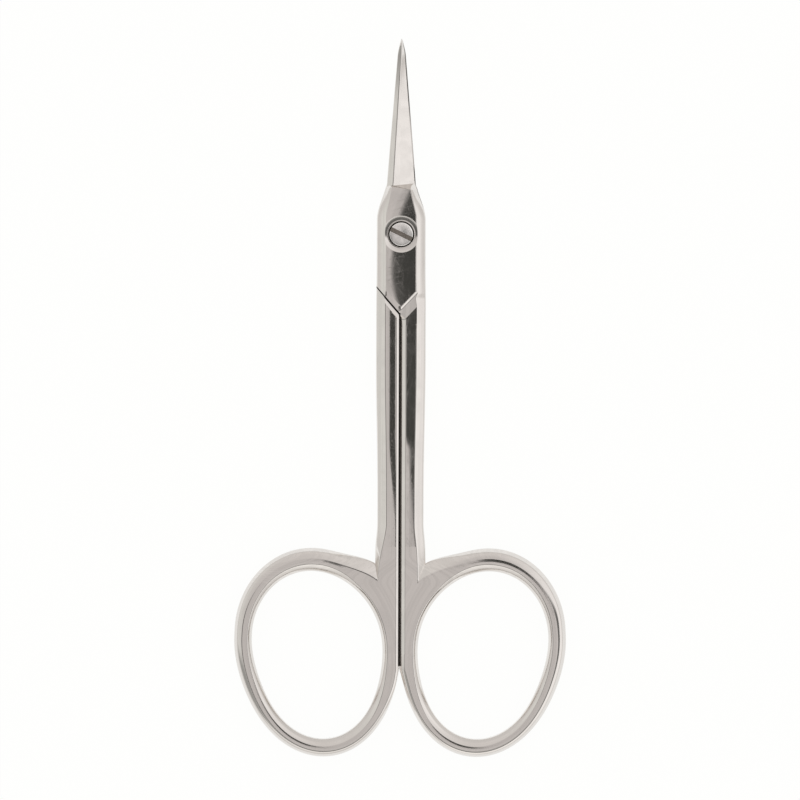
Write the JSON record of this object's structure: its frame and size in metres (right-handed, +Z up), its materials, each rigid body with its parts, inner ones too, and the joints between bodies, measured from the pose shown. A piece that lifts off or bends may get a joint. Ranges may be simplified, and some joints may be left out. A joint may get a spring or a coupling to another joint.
{
  "type": "cuticle scissors",
  "caption": "Fine curved scissors for cuticles: slim shanks, oval finger rings, a box joint with a slotted screw and narrow bent blades.",
  "frame": {"origin": "on the pivot's axis, at the ground facet on the back of the box joint, on which the scissors rest", "axes": "+X across the scissors towards the near half's finger ring, +Y along the blades to their tips, +Z up along the pivot screw towards its slotted head"},
  "size_m": [0.0414, 0.0897, 0.0052],
  "materials": {
    "polished_steel": "hand-polished nickel-plated carbon steel with fine polishing lines",
    "screw_steel": "turned steel with a satin face"
  },
  "bodies": {
    "rear_body": {"rear_half": "polished_steel", "pivot_screw": "screw_steel"},
    "front_body": {"front_half": "polished_steel"}
  },
  "joints": [
    {"name": "blade_pivot", "type": "hinge", "parent": "rear_body", "child": "front_body", "pos_m": [0, 0, 0.0017], "axis": [0, 0, 1], "range_deg": [0, 60]}
  ]
}
